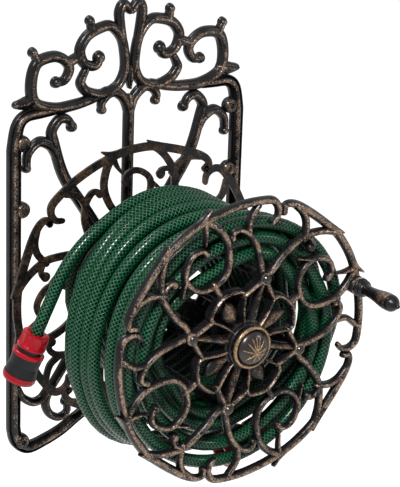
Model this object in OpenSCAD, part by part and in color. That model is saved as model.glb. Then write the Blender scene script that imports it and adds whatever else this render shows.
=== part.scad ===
// Cast scrollwork hose reel for a wall, with its garden hose wound on.
// Millimetres. X runs right, Z up, and the wall face is the plane Y = 0, with the reel towards -Y.
// The origin is where the reel's axle meets the wall face. "Depth" below is the distance from the wall.

/* [Wall plate] */
// Width of the plate over its two side rails
plate_w = 322; // [300:1:360]
// Height of the top rail above the axle
plate_up = 213; // [200:1:230]
// Drop of the bottom corners below the axle
plate_down = 194; // [185:1:210]
// Height of the crest above the top rail
crest_h = 119; // [100:1:140]
// Thickness of the plate's flat casting
plate_t = 7; // [6:0.5:9]
// Height of the raised bead along the plate's strands
plate_bead = 3; // [1:0.5:4]
// Width of the side rails
rail_w = 17; // [14:0.5:20]
// Width of the plate's scroll strands
scroll_w = 12; // [9:0.5:14]
// Width of the central stem and the diagonals
stem_w = 14; // [11:0.5:17]
// Distance of the screws from the plate's sides
screw_inset = 19; // [18:0.5:21]
// Distance of the upper screws below the top rail
screw_drop = 29; // [24:1:34]
// Distance of the lower screws above the bottom corners
screw_lift = 10; // [8:1:14]
// Height of the middle pair of screws above the axle
mid_screw_z = 105; // [80:1:130]
// Diameter of the wall screw holes
wall_hole_d = 6; // [4:0.5:7]
// Diameter of the round lugs for the wall screws
lug_d = 17; // [15:0.5:19]

/* [Reel] */
// Radius of each wheel to the middle of its rim
rim_r = 161; // [155:1:170]
// Thickness of the wheels' flat casting
wheel_t = 5; // [4:0.5:7]
// Height of the raised bead along the wheels' strands
wheel_bead = 3; // [1:0.5:4]
// How far the star and the hub stand above the rim
star_rise = 4; // [2:0.5:6]
// Width of the wheels' strands
strand_w = 9; // [7:0.5:10]
// Radius of the circle of drum bar screws
bar_circle_r = 76.5; // [74:0.5:80]
// Radius of the wheel hub
hub_r = 28; // [24:1:30]
// Clear width between the two wheels for the hose
drum_w = 207; // [200:1:230]
// Diameter of the drum bars
bar_d = 10; // [8:0.5:12]
// Diameter of the drum bar screws
bar_screw_d = 5; // [4:0.5:6]
// Depth of the screws in the drum bars
bar_thread = 12; // [10:1:16]
// Outer diameter of the tube round the axle
hub_tube_d = 26; // [24:1:30]
// Angle of the first star tip from the horizontal
star_turn = 73; // [0:1:90]

/* [Axle] */
// Diameter of the axle
axle_d = 12; // [10:0.5:14]
// Diameter of the axle's shoulder, washers and bushes' flanges
collar_d = 26; // [24:1:30]
// Outer diameter of the wheel bushes
bush_d = 18; // [17:0.5:20]
// Diameter of the rosette cap
cap_d = 50; // [44:1:56]

/* [Crank] */
// Angle of the crank from the horizontal
crank_turn = 14; // [0:1:40]
// Diameter of the crank stud
stud_d = 8; // [6:0.5:9]
// Length of the turning grip
grip_l = 54; // [46:1:64]
// Diameter of the grip at its bulb
grip_d = 20; // [18:0.5:24]

/* [Hose] */
// Outer diameter of the hose
hose_d = 15; // [13:0.5:15.5]
// Turns in the outer layer
outer_turns = 5.2; // [4.2:1:5.2]
// Radius of the outer layer where it lies tight
tight_r = 120.5; // [118:0.5:124]
// How far the slack hangs out, low on the left
slack = 25; // [10:1:28]
// Sideways wander of the outer turns
wander = 5.5; // [0:0.5:6]

/* [Connectors] */
// Diameter of the fluted collar nut
nut_d = 33; // [30:0.5:35]
// Length of the fluted collar nut
nut_l = 18; // [15:0.5:20]
// Diameter of the end ring
mouth_d = 39; // [36:0.5:41]
// Length of the grip sleeve with its rings
sleeve_l = 37; // [33:0.5:42]
// Travel of the sleeve when it is pulled back
sleeve_travel = 4; // [3:0.5:4.5]

/* [Hidden] */

// Clearances
run_gap = 0.05;   // radial, between a turning part and its shaft
face_gap = 0.3;   // axial, between faces that turn past each other
soft_gap = 0.4;   // between the hose and what it lies on

// Depths from the wall
plate_face = plate_t + plate_bead;
boss_face = plate_face + 1;
washer_t = 1.5;
collar_t = 3;
rear_hub = boss_face + collar_t + washer_t + face_gap;
wheel_face = wheel_t + wheel_bead;
star_face = wheel_face + star_rise;
hub_face = star_face + 2;
rear_front = rear_hub + hub_face;
front_back = rear_front + drum_w;
front_hub_face = front_back + hub_face;
cap_back = front_hub_face + face_gap + washer_t;
cap_rim_t = 4;
cap_dome_h = 11;
nut_pocket = 8;
nut_pocket_d = 30;
axle_nut_t = 4;
washer_d = collar_d;

rail_x = plate_w / 2 - rail_w / 2;
screw_x = plate_w / 2 - screw_inset;
screw_heights = [plate_up - screw_drop, screw_lift - plate_down, mid_screw_z];
quarter = [0, 90, 180, 270];

// Turns a piece drawn on its back, with its depth along Z, upright against the wall
module facing() rotate([90, 0, 0]) children();

function last(list) = list[len(list) - 1];
function polar(r, a) = [r * cos(a), r * sin(a)];
function unit(v) = v / norm(v);

// Smooth curve through points, with steps pieces between each two
function bend(a, b, c, d, t) =
    b + t / 2 * (c - a) + t * t / 2 * (2 * a - 5 * b + 4 * c - d) + t * t * t / 2 * (3 * b - a - 3 * c + d);
function curve(p, steps) = concat([for (i = [0 : len(p) - 2], k = [0 : steps - 1])
    bend(p[max(i - 1, 0)], p[i], p[i + 1], p[min(i + 2, len(p) - 1)], k / steps)], [last(p)]);
function heading(p, i) = unit(p[min(i + 1, len(p) - 1)] - p[max(i - 1, 0)]);
function edge(p, w0, w1, side) = [for (i = [0 : len(p) - 1])
    let (h = heading(p, i), w = w0 + (w1 - w0) * i / (len(p) - 1)) p[i] + side * w / 2 * [-h[1], h[0]]];
function turned(list) = [for (i = [len(list) - 1 : -1 : 0]) list[i]];

// One strand of a casting, which tapers from w0 to w1 and may end in a bulb
module strand(p, w0, w1, bulb_r = 0, steps = 2) {
    c = curve(p, steps);
    polygon(concat(edge(c, w0, w1, 1), turned(edge(c, w0, w1, -1))));
    if (bulb_r > 0) translate(last(c)) circle(r = bulb_r, $fn = 14);
}

// Fills the sharp inner corners where strands meet
module cast_corners(r) offset(delta = -r, chamfer = true) offset(delta = r) children();

/* The wall plate. Its scrolls are drawn on a grid: the first number is percent of the way from the
   axle to the side rail, and the second is percent of the height of the top rail, which passes 100
   in the crest and is below 0 under the axle. */
function plate_point(g) = [g[0] / 100 * rail_x,
    g[1] < 0 ? g[1] / 100 * plate_down
    : g[1] <= 100 ? g[1] / 100 * plate_up
    : plate_up + (g[1] - 100) / 100 * crest_h];
module plate_strand(g, w0, w1, bulb_r = 0, steps = 2)
    strand([for (q = g) plate_point(q)], w0, w1, bulb_r, steps);

module side_rail() {
    plate_strand([[100, 84], [100, -85]], rail_w, rail_w, 0, 1);
    plate_strand([[100, 84], [97, 96], [90, 102], [77, 103], [66, 103.5]], rail_w, scroll_w);
    plate_strand([[100, -85], [97, -94], [87, -100], [72, -98], [57, -94], [43, -88], [26, -82], [0, -78]],
        rail_w, scroll_w);
}

module stem_and_diagonals() {
    plate_strand([[0, 0], [0, 100]], stem_w, stem_w, 0, 1);
    plate_strand([[0, 92], [4, 101], [12, 110], [19, 109], [24.5, 101.5], [24, 97]], scroll_w, 8, 5);
    plate_strand([[0, 0], [20, 22.5], [40, 45], [57, 64], [66, 84], [67.5, 90.5], [61, 96], [54, 95],
        [50, 90.5]], stem_w, 9, 7);
    plate_strand([[64, 77], [69, 82.5], [79, 85.5], [88, 80], [89, 72]], scroll_w, 8, 6);
    plate_strand([[0, 0], [20, -16], [40, -35], [58, -55], [70.5, -70], [69, -80], [60, -85.5],
        [52, -83], [52.5, -76]], stem_w, 8, 7);
    plate_strand([[70, -66], [75, -70], [83, -71], [92, -66], [96, -60]], scroll_w, 9);
}

module crest_scrolls() {
    plate_strand([[20, 113], [33, 107.5], [49, 104.5], [66, 104.5], [82, 113], [85.5, 131], [81, 151],
        [67, 155.5], [57, 150], [53, 141], [57, 131], [64, 129.5]], scroll_w, 8, 6.5);
    plate_strand([[39, 137], [42, 130], [43, 124], [37, 115], [24, 110], [10, 116], [3, 131], [2, 148], [7, 166],
        [17, 176], [27, 176], [38, 170], [44, 158], [41, 145], [34, 140], [29, 141], [27, 147]], scroll_w, 8, 8);
    plate_strand([[0, 148], [4.5, 163], [10, 179], [11.5, 192], [6, 198], [0, 190]], scroll_w, 8);
    plate_strand([[0, 144], [0, 128], [0, 114]], 8, 3);
    plate_strand([[0, 130], [0, 124]], 12, 12, 6, 1);
    plate_strand([[33, 172], [34.5, 179], [35.5, 185]], 9, 7, 6);
    plate_strand([[80, 152], [82, 158], [84, 163]], 9, 7, 5.5);
    plate_strand([[84, 116], [92, 114], [101, 113.5]], 15, 3);
    plate_strand([[44, 152], [48, 150], [54, 147]], scroll_w, scroll_w);
}

module at_screws() for (x = [-1, 1], z = screw_heights) translate([x * screw_x, z]) children();

module plate_outline() cast_corners(2) {
    for (side = [0, 1]) mirror([side, 0]) {
        side_rail();
        stem_and_diagonals();
        crest_scrolls();
    }
    at_screws() circle(d = lug_d + 2, $fn = 16);
    circle(r = hub_r + 4, $fn = 32);
}

module wall_plate() color("#2b2420") facing() difference() {
    union() {
        linear_extrude(plate_face) plate_outline();
        cylinder(h = boss_face, r = hub_r - 4, $fn = 64);
        at_screws() cylinder(h = plate_face + 0.5, d = lug_d - 2, $fn = 48);
    }
    at_screws() translate([0, 0, -1]) cylinder(h = plate_face + 2, d = wall_hole_d, $fn = 48);
    translate([0, 0, -1]) cylinder(h = boss_face + 2, d = axle_d + 2 * run_gap, $fn = 64);
    translate([0, 0, -1]) cylinder(h = nut_pocket + 1, d = nut_pocket_d, $fn = 64);
}

/* Axle and what holds it */
module axle() color("#3a3836") facing() {
    translate([0, 0, 0.5]) cylinder(h = cap_back + cap_rim_t + cap_dome_h / 2 - 0.5, d = axle_d, $fn = 64);
    translate([0, 0, boss_face]) cylinder(h = collar_t, d = collar_d, $fn = 64);
}

module ring(from, thick, outer_d, inner_d) translate([0, 0, from]) difference() {
    cylinder(h = thick, d = outer_d, $fn = 64);
    translate([0, 0, -1]) cylinder(h = thick + 2, d = inner_d, $fn = 64);
}

module axle_washer() color("#8a8680") facing()
    ring(nut_pocket - washer_t, washer_t, nut_pocket_d - 3, axle_d + 2 * run_gap);

module axle_nut() color("#8a8680") facing() translate([0, 0, nut_pocket - washer_t - axle_nut_t]) difference() {
    cylinder(h = axle_nut_t, d = nut_pocket_d - 8, $fn = 6);
    translate([0, 0, -1]) cylinder(h = axle_nut_t + 2, d = axle_d, $fn = 64);
}

module thrust_washers() color("#8a8680") facing() for (from = [boss_face + collar_t, front_hub_face + face_gap])
    ring(from, washer_t, washer_d, axle_d + 2 * run_gap);

module rosette_cap() color("#3b2e26") facing() translate([0, 0, cap_back]) difference() {
    union() {
        cylinder(h = cap_rim_t, d = cap_d, $fn = 96);
        rotate_extrude($fn = 96) polygon(concat([[0, 0]],
            [for (a = [0 : 10 : 90]) [cap_d / 2 * 0.88 * cos(a), cap_rim_t + cap_dome_h * sin(a)]]));
        for (k = [0 : 7]) rotate(k * 45) translate([0, 0, cap_rim_t]) rotate([90, 0, 90])
            linear_extrude(cap_d * 0.36)
                polygon([[-1.6, 0], [1.6, 0], [0.7, cap_dome_h * 0.8], [-0.7, cap_dome_h * 0.8]]);
    }
    translate([0, 0, -1]) cylinder(h = cap_rim_t + cap_dome_h / 2 + 1.3, d = axle_d, $fn = 64);
}

/* The wheels. A quarter of the scrollwork is drawn in degrees from one star tip to the next and in
   percent: 0 is the hub, 100 the circle of the bar screws and 200 the middle of the rim. */
function wheel_point(g) = polar(g[1] <= 100 ? hub_r + g[1] / 100 * (bar_circle_r - hub_r)
    : bar_circle_r + (g[1] - 100) / 100 * (rim_r - bar_circle_r), g[0]);
module wheel_strand(g, w0, w1, bulb_r = 0, steps = 2)
    strand([for (q = g) wheel_point(q)], w0, w1, bulb_r, steps);

module wheel_scrolls() {
    // Rim, in three bows between the notch, the two leaves and the next notch
    wheel_strand([[36, 201], [27, 201], [18, 202], [9, 203], [4, 202], [1.5, 194], [1, 183], [3, 173]],
        strand_w, strand_w - 4);
    wheel_strand([[55, 203], [46, 202], [40, 203], [36, 207], [34, 214]], strand_w, strand_w - 5);
    wheel_strand([[77, 199], [67, 199], [58, 202], [55, 208]], strand_w + 1, strand_w - 4);
    wheel_strand([[71, 166], [74, 184], [78, 196], [82, 201], [86.5, 202], [89, 198], [88.5, 189]],
        strand_w - 1, strand_w - 2, 4.5);
    // The two arms that leave each star tip
    wheel_strand([[0, 100], [6, 123], [11, 145], [17, 162], [22, 169], [25, 167], [26, 161]],
        strand_w, strand_w - 3, 5);
    wheel_strand([[16, 160], [16, 180], [12, 198]], strand_w - 2, strand_w - 2);
    wheel_strand([[90, 100], [83, 111], [80, 129], [76, 149], [72, 168], [66, 184], [61, 195], [56, 204]],
        strand_w, strand_w - 1);
    wheel_strand([[71, 170], [67, 170.5], [64, 167], [64, 162]], strand_w - 3, strand_w - 4, 6);
    // The large spiral and its two spurs
    wheel_strand([[37, 200], [33, 185], [29.5, 165], [29, 141], [32, 121], [41, 111], [54, 117], [59, 135],
        [58, 154], [53, 166], [48, 171], [43.5, 167], [42, 158]], strand_w, strand_w - 2.5, 5);
    wheel_strand([[38, 196], [39, 184], [41, 172]], strand_w - 2, 2.5);
    wheel_strand([[58, 152], [63, 145], [67, 140]], strand_w - 3, 2.5);
    wheel_strand([[45, 86], [46, 98], [46, 112]], strand_w, strand_w);
}

module wheel_star() {
    wheel_strand([[0, 100], [21, 62]], strand_w - 1, strand_w - 2, 0, 2);
    wheel_strand([[90, 100], [69, 62]], strand_w - 1, strand_w - 2, 0, 2);
    wheel_strand([[21, 62], [26, 76], [45, 86], [64, 76], [69, 62]], strand_w - 2, strand_w - 2);
    wheel_strand([[0, -20], [0, 100]], strand_w + 3, strand_w - 4, 0, 2);
    wheel_strand([[25, -20], [21, 62]], strand_w - 3, strand_w - 3, 0, 2);
    wheel_strand([[65, -20], [69, 62]], strand_w - 3, strand_w - 3, 0, 2);
}

module wheel_petal() wheel_strand([[45, -20], [45, 14], [45, 47]], 5, 12.6, 7.3, 1);

module all_round() for (a = quarter) rotate(a + star_turn) children();

module wheel(crank_boss) difference() {
    union() {
        linear_extrude(wheel_face) all_round() {
            wheel_scrolls();
            wheel_star();
            translate([bar_circle_r, 0]) circle(r = 8, $fn = 16);
        }
        linear_extrude(wheel_t) all_round() wheel_petal();
        linear_extrude(star_face) offset(delta = -1) all_round() wheel_star();
        for (a = quarter) rotate(a + star_turn) translate([bar_circle_r, 0, 0])
            cylinder(h = star_face, r = 7, $fn = 48);
        cylinder(h = hub_face, r = hub_r - 2, $fn = 96);
        if (crank_boss) translate(crank_place) cylinder(h = hub_face, r = grip_d / 2 + 1, $fn = 48);
    }
    for (a = quarter) rotate(a + star_turn) translate([bar_circle_r, 0, -1])
        cylinder(h = hub_face + 2, d = bar_screw_d + 0.5, $fn = 48);
    translate([0, 0, -1]) cylinder(h = hub_face + 2, d = bush_d, $fn = 64);
    if (crank_boss) translate([crank_place[0], crank_place[1], -1])
        cylinder(h = hub_face + 2, d = stud_d + 2 * run_gap, $fn = 48);
}
crank_place = polar(rim_r - 4, crank_turn);

// The same casting twice, with the flat sides towards the hose, so the rear one is turned over
module rear_wheel() color("#2b2420") facing() translate([0, 0, rear_front])
    rotate([180, 0, 2 * star_turn]) wheel(false);
module front_wheel() color("#33281f") facing() translate([0, 0, front_back]) wheel(true);

module rear_bush() color("#d8d4c8") facing()
    ring(rear_hub, hub_face, bush_d, axle_d + 2 * run_gap);
module front_bush() color("#d8d4c8") facing()
    ring(front_back, hub_face, bush_d, axle_d + 2 * run_gap);
module hub_tube() color("#1e1c1b") facing()
    ring(rear_front, drum_w, hub_tube_d, bush_d);

module drum_bar(k) color("#1e1c1b") facing() rotate(quarter[k - 1] + star_turn)
    translate([bar_circle_r, 0, rear_front]) difference() {
        cylinder(h = drum_w, d = bar_d, $fn = 48);
        for (z = [-1, drum_w - bar_hole_l])
            translate([0, 0, z]) cylinder(h = bar_hole_l + 1, d = bar_screw_d, $fn = 32);
    }
bar_hole_l = bar_thread + 4;
module drum_bar_1() drum_bar(1);
module drum_bar_2() drum_bar(2);
module drum_bar_3() drum_bar(3);
module drum_bar_4() drum_bar(4);

// Pan head screw with its head's seat at the origin and its shank down -Z
module pan_screw(l) {
    head_h = 0.68 * bar_screw_d;
    rotate_extrude($fn = 48) polygon([[0, 0], [bar_screw_d, 0], [bar_screw_d, 0.3 * head_h],
        [bar_screw_d * 0.8, 0.7 * head_h], [bar_screw_d * 0.4, 0.94 * head_h], [0, head_h]]);
    translate([0, 0, -l]) cylinder(h = l + head_h / 4, d = 0.96 * bar_screw_d, $fn = 32);
}
module rear_bar_screws() color("#4a4744") facing() for (a = quarter) rotate(a + star_turn)
    translate([bar_circle_r, 0, rear_front - star_face]) rotate([180, 0, 0]) pan_screw(star_face + bar_thread);
module front_bar_screws() color("#4a4744") facing() for (a = quarter) rotate(a + star_turn)
    translate([bar_circle_r, 0, front_back + star_face]) pan_screw(star_face + bar_thread);

/* Crank */
grip_start = front_back + hub_face + face_gap;
cap_start = grip_start + grip_l + face_gap;
stud_head_t = 4;
module at_crank() facing() translate(crank_place) children();

module crank_stud() color("#4a4744") at_crank() {
    translate([0, 0, front_back - stud_head_t]) cylinder(h = stud_head_t, d = stud_d + 6, $fn = 6);
    translate([0, 0, front_back - 0.5]) cylinder(h = cap_start - front_back + 7, d = stud_d, $fn = 48);
}

module crank_handle() color("#3b2e26") at_crank() translate([0, 0, grip_start]) rotate_extrude($fn = 64)
    polygon(concat([[stud_d / 2 + 2 * run_gap, 0]], [for (q = curve([[grip_d / 2 - 1, 0],
        [grip_d / 2 + 1, 0.06 * grip_l], [grip_d / 2 - 1, 0.12 * grip_l], [grip_d / 2 - 3, 0.18 * grip_l],
        [grip_d / 2 - 3.4, 0.4 * grip_l],
        [grip_d / 2 - 1.6, 0.65 * grip_l], [grip_d / 2, 0.85 * grip_l], [grip_d / 2 - 0.3, grip_l]], 2))
        [q[0], min(max(q[1], 0), grip_l)]], [[stud_d / 2 + 2 * run_gap, grip_l]]));

module crank_cap() color("#33281f") at_crank() translate([0, 0, cap_start]) difference() {
    rotate_extrude($fn = 64) polygon([[0, 0], [grip_d * 0.49, 0], [grip_d * 0.48, 3], [grip_d * 0.42, 6.5],
        [grip_d * 0.3, 9.5], [grip_d * 0.13, 11.5], [grip_d * 0.12, 13.5], [grip_d * 0.06, 15], [0, 15.4]]);
    translate([0, 0, -1]) cylinder(h = 8.2, d = stud_d, $fn = 48);
}

/* The hose. Its turns are given by an angle in degrees, anticlockwise from +X as the photo sees it,
   a radius and a depth from the wall. */
hose_r = hose_d / 2;
core_in_r = bar_circle_r + bar_d / 2;
core_out_r = tight_r - hose_r - soft_gap;
core_rear = rear_front + 7;
core_front = front_back - 48.2;
outer_front = front_back - 58;
outer_rear = rear_front + 40;
tail_turn = 100;

function smooth(t) = t <= 0 ? 0 : t >= 1 ? 1 : t * t * (3 - 2 * t);
function turn_angle(t) = tail_turn + 360 * (t - outer_turns);
function turn_slack(t) = slack * (0.2 + 0.8 * smooth((t - 0.2) / 1.3)) * (0.88 + 0.12 * sin(137 * t));
function turn_r(t) = tight_r + turn_slack(t) * pow((1 + cos(turn_angle(t) - 230)) / 2, 2)
    - hose_d * (1 - smooth(t / 0.35));
function turn_depth(t) = outer_front + (outer_rear - outer_front) * t / outer_turns
    + wander * sin(turn_angle(t) + 60 * t) * smooth(t) * smooth((outer_turns - t) / 0.6);
function turn_point(t) = let (p = polar(turn_r(t), turn_angle(t))) [p[0], p[1], turn_depth(t)];
ring_count = ceil(outer_turns * 24);
winding_path = [for (i = [0 : ring_count]) turn_point(i / ring_count * outer_turns)];

// Least distance between the skins of two turns one apart
turn_gap = min([for (i = [0 : ring_count - 20], j = [i + 20 : min(i + 28, ring_count)])
    norm(winding_path[i] - winding_path[j])]) - hose_d;
echo(least_hose_gap = turn_gap);

// Connectors: where the mouth is, and which way the hose leaves
neck_l = 5;
hose_seat = 6;
outlet_end = [-180, -73, rear_front + 30];
outlet_way = unit([0.289, 0.899, 0.168]);
inlet_end = [4, -154, front_back - 37];
inlet_way = unit([0.951, 0.309, 0]);
connector_l = nut_l + neck_l + sleeve_l;
outlet_start = outlet_end + connector_l * outlet_way;
inlet_start = inlet_end + connector_l * inlet_way;

/* The hose's first turns from the inlet lie loose in three layers behind the front wheel: inwards,
   outwards and inwards again. Their middle moves, so that they cross. */
feed_turns = 6.1;
feed_base = [[0, 148], [2.3, 103], [2.7, 93.5], [3.1, 104.5], [3.6, 114], [4.6, 130.5], [4.9, 128],
    [6.1, 89.7]];
function feed_angle(t) = 312 + 360 * t;
function feed_r(t) = let (second = smooth((t - 2.4) / 0.5), end = smooth((t - 5.2) / 0.8))
    lookup(t, feed_base) + 8 * (1 - second) * cos(feed_angle(t) - 230)
    + 10 * second * (1 - end) * cos(feed_angle(t) - 100);
function feed_depth(t) = front_back - 8.4 - 26.6 * (1 - smooth(t / 0.2)) - 16 * smooth((t - 2.4) / 0.4)
    - 16 * smooth((t - 4.4) / 0.35) - 15 * smooth((t - 5.75) / 0.35);
feed_count = 146;
feed_path = concat([inlet_start - hose_seat * inlet_way, inlet_start + hose_d * inlet_way],
    [for (i = [0 : feed_count]) let (t = i / feed_count * feed_turns, p = polar(feed_r(t), feed_angle(t)))
        [p[0], p[1], feed_depth(t)]]);
tail_path = concat([last(winding_path)], [for (q = [[111, 121, 41], [123, 122, 41], [136, 126, 41],
    [148, 131.5, 40.5], [160, 138, 40.5], [171, 144, 40.5]]) let (p = polar(q[1], q[0]))
    [p[0], p[1], rear_front + q[2]]], [outlet_start + hose_d * outlet_way,
    outlet_start - hose_seat * outlet_way]);

// A closed tube of triangles along a path, with its rings square to it
function away(h) = unit(cross(h, abs(h[2]) < 0.9 ? [0, 0, 1] : [1, 0, 0]));
function tube_ring(p, i, sides, d) = let (h = heading(p, i), u = away(h), v = cross(h, u))
    [for (k = [0 : sides - 1]) let (a = 360 / sides * (k + 0.5)) p[i] + d / 2 * (cos(a) * u + sin(a) * v)];
module tube(p, sides, d) {
    n = len(p);
    pts = [for (i = [0 : n - 1], q = tube_ring(p, i, sides, d)) q];
    side_faces = [for (i = [0 : n - 2], k = [0 : sides - 1])
        let (a = i * sides + k, b = i * sides + (k + 1) % sides)
        each [[a, a + sides, b], [b, a + sides, b + sides]]];
    end_faces = [for (k = [1 : sides - 2]) each [[0, k, k + 1],
        [(n - 1) * sides, (n - 1) * sides + k + 1, (n - 1) * sides + k]]];
    polyhedron(pts, concat(side_faces, end_faces), convexity = 10);
}

module hose_core() color("#0f3d27") facing()
    ring(core_rear, core_front - core_rear, 2 * core_out_r, 2 * core_in_r);
module hose_winding() color("#14532f") facing() tube(winding_path, 6, hose_d);
module hose_feed() color("#14532f") facing() tube(feed_path, 6, hose_d);
module hose_tail() color("#14532f") facing() tube(curve(tail_path, 2), 8, hose_d);

/* Hose connectors, drawn along Z from the collar nut at 0 to the mouth */
function tilt(h) = [0, acos(h[2]), atan2(h[1], h[0])];
module at_outlet() facing() translate(outlet_start) rotate(tilt(-outlet_way)) children();
module at_inlet() facing() translate(inlet_start) rotate(tilt(-inlet_way)) children();

bore_d = 12;
neck_d = nut_d - 4;
sleeve_bore_d = neck_d + 2 * run_gap;
socket_d = neck_d - 8;
socket_from = nut_l + neck_l + 6;
body_end = connector_l - 12;
seal_d = socket_d - 2;
seal_t = 2;
ring_l = 4.5;
mouth_l = 8;

module connector_nut() difference() {
    union() {
        linear_extrude(nut_l) difference() {
            circle(d = nut_d, $fn = 72);
            for (k = [0 : 11]) rotate(30 * k) translate([nut_d / 2 + 1.1, 0]) circle(r = 2, $fn = 16);
        }
        translate([0, 0, nut_l - 3]) cylinder(h = 3, d = nut_d, $fn = 72);
    }
    translate([0, 0, hose_seat]) cylinder(h = nut_l, d = neck_d - 3, $fn = 64);
    translate([0, 0, -1]) cylinder(h = nut_l, d = hose_d + 2 * soft_gap, $fn = 64);
}
module connector_body() difference() {
    union() {
        translate([0, 0, hose_seat]) cylinder(h = nut_l - hose_seat, d = neck_d - 3, $fn = 64);
        translate([0, 0, nut_l]) cylinder(h = body_end - nut_l, d = neck_d, $fn = 64);
    }
    translate([0, 0, 5]) cylinder(h = connector_l, d = bore_d, $fn = 64);
    translate([0, 0, socket_from - seal_t]) cylinder(h = connector_l, d = seal_d, $fn = 64);
    translate([0, 0, socket_from]) cylinder(h = connector_l, d = socket_d, $fn = 64);
}
module connector_seal() ring(socket_from - seal_t, seal_t, seal_d, bore_d);
module connector_sleeve() translate([0, 0, nut_l + neck_l]) difference() {
    rotate_extrude($fn = 72) polygon([[0, ring_l], [mouth_d / 2 - 1.5, ring_l],
        [mouth_d / 2 - 2.2, 0.45 * sleeve_l], [mouth_d / 2 - 0.6, sleeve_l - mouth_l], [0, sleeve_l - mouth_l]]);
    translate([0, 0, -1]) cylinder(h = sleeve_l + 2, d = sleeve_bore_d, $fn = 64);
}
module connector_rings() translate([0, 0, nut_l + neck_l]) difference() {
    rotate_extrude($fn = 72)
        polygon([[0, 0], [mouth_d / 2 - 2, 0], [mouth_d / 2 - 1, 1], [mouth_d / 2 - 1, ring_l], [0, ring_l]]);
    translate([0, 0, -1]) cylinder(h = sleeve_l + 2, d = sleeve_bore_d, $fn = 64);
}
module connector_mouth() translate([0, 0, nut_l + neck_l + sleeve_l - mouth_l]) difference() {
    rotate_extrude($fn = 72)
        polygon([[0, 0], [mouth_d / 2, 0], [mouth_d / 2, mouth_l * 0.6], [mouth_d / 2 - 1.5, mouth_l],
            [0, mouth_l]]);
    translate([0, 0, -1]) cylinder(h = sleeve_l, d = sleeve_bore_d, $fn = 64);
}

module outlet_nut() color("#c01622") at_outlet() connector_nut();
module outlet_body() color("#1a1c1e") at_outlet() connector_body();
module outlet_seal() color("#0c0c0c") at_outlet() connector_seal();
module outlet_sleeve() color("#2a2d30") at_outlet() connector_sleeve();
module outlet_rings() color("#c01622") at_outlet() { connector_rings(); connector_mouth(); }
module inlet_nut() color("#c01622") at_inlet() connector_nut();
module inlet_body() color("#1a1c1e") at_inlet() connector_body();
module inlet_seal() color("#0c0c0c") at_inlet() connector_seal();
module inlet_sleeve() color("#2a2d30") at_inlet() connector_sleeve();
module inlet_rings() color("#c01622") at_inlet() { connector_rings(); connector_mouth(); }

wall_plate();
axle();
axle_washer();
axle_nut();
thrust_washers();
rosette_cap();
rear_wheel();
front_wheel();
rear_bush();
front_bush();
hub_tube();
drum_bar_1();
drum_bar_2();
drum_bar_3();
drum_bar_4();
rear_bar_screws();
front_bar_screws();
crank_stud();
crank_handle();
crank_cap();
hose_core();
hose_winding();
hose_feed();
hose_tail();
outlet_nut();
outlet_body();
outlet_seal();
outlet_sleeve();
outlet_rings();
inlet_nut();
inlet_body();
inlet_seal();
inlet_sleeve();
inlet_rings();
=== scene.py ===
"""Cast scrollwork hose reel for a wall, with its braided garden hose wound on it.
Sizes are in millimetres where a name says mm, and places are given as the maker draws them:
x runs right, up is up, and depth is the distance out from the wall. row() turns them into metres.
Angles are in degrees, anticlockwise from x as the photo sees them."""
import math

import bmesh
import bpy
import numpy as np
from mathutils import Matrix, Vector


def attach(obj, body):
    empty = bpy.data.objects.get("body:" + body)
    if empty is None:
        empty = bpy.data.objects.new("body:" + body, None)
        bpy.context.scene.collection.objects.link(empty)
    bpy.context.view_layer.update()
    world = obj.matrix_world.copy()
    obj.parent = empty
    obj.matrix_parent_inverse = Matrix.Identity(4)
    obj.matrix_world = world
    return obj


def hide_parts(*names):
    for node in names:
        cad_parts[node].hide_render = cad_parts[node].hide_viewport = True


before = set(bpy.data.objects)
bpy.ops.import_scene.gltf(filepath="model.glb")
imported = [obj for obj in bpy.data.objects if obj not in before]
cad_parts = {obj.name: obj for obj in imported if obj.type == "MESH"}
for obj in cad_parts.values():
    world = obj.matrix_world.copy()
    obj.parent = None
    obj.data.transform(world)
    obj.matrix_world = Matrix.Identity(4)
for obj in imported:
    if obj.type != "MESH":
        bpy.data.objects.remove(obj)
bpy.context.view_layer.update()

MM = 0.001
# Faces that meet at more than this angle keep a crisp edge
CRISP_EDGE = 48
# A turned outline that starts within this radius closes at a pole
POLE_R_MM = 0.01

# Wall plate
PLATE_HALF_MM = 152.5
PLATE_UP_MM = 213
PLATE_DOWN_MM = 194
CREST_MM = 119
PLATE_FACE_MM = 10
RAIL_W_MM = 17
SCROLL_W_MM = 12
STEM_W_MM = 14
SCREW_X_MM = 142
SCREW_UP_MM = (184, -184, 105)
SCREWS_MM = [(side * SCREW_X_MM, up) for side in (1, -1) for up in SCREW_UP_MM]

# Reel
RIM_R_MM = 161
HUB_R_MM = 28
BAR_CIRCLE_MM = 76.5
STAR_TURN = 73
WHEEL_FACE_MM = 8
STAR_FACE_MM = 12
HUB_FACE_MM = 14
REAR_FRONT_MM = 29.8
FRONT_BACK_MM = REAR_FRONT_MM + 207
CAP_BACK_MM = FRONT_BACK_MM + HUB_FACE_MM + 1.8
CRANK_TURN = 14
CRANK_R_MM = RIM_R_MM - 4
GRIP_START_MM = FRONT_BACK_MM + HUB_FACE_MM + 0.3
GRIP_L_MM = 54
DOME_R_MM = 20
DOME_FOOT_MM = 4
DOME_RISE_MM = 10

# Hose and connectors
HOSE_D_MM = 15
HOSE_SIDES = 16
BRAID_MM = 5.0
BRAID_THREADS = 8
FEED_ANGLE = 312
FEED_TURNS = 6.1
FEED_STEPS = 390
FEED_FRONT_MM = FRONT_BACK_MM - 8.4
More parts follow.
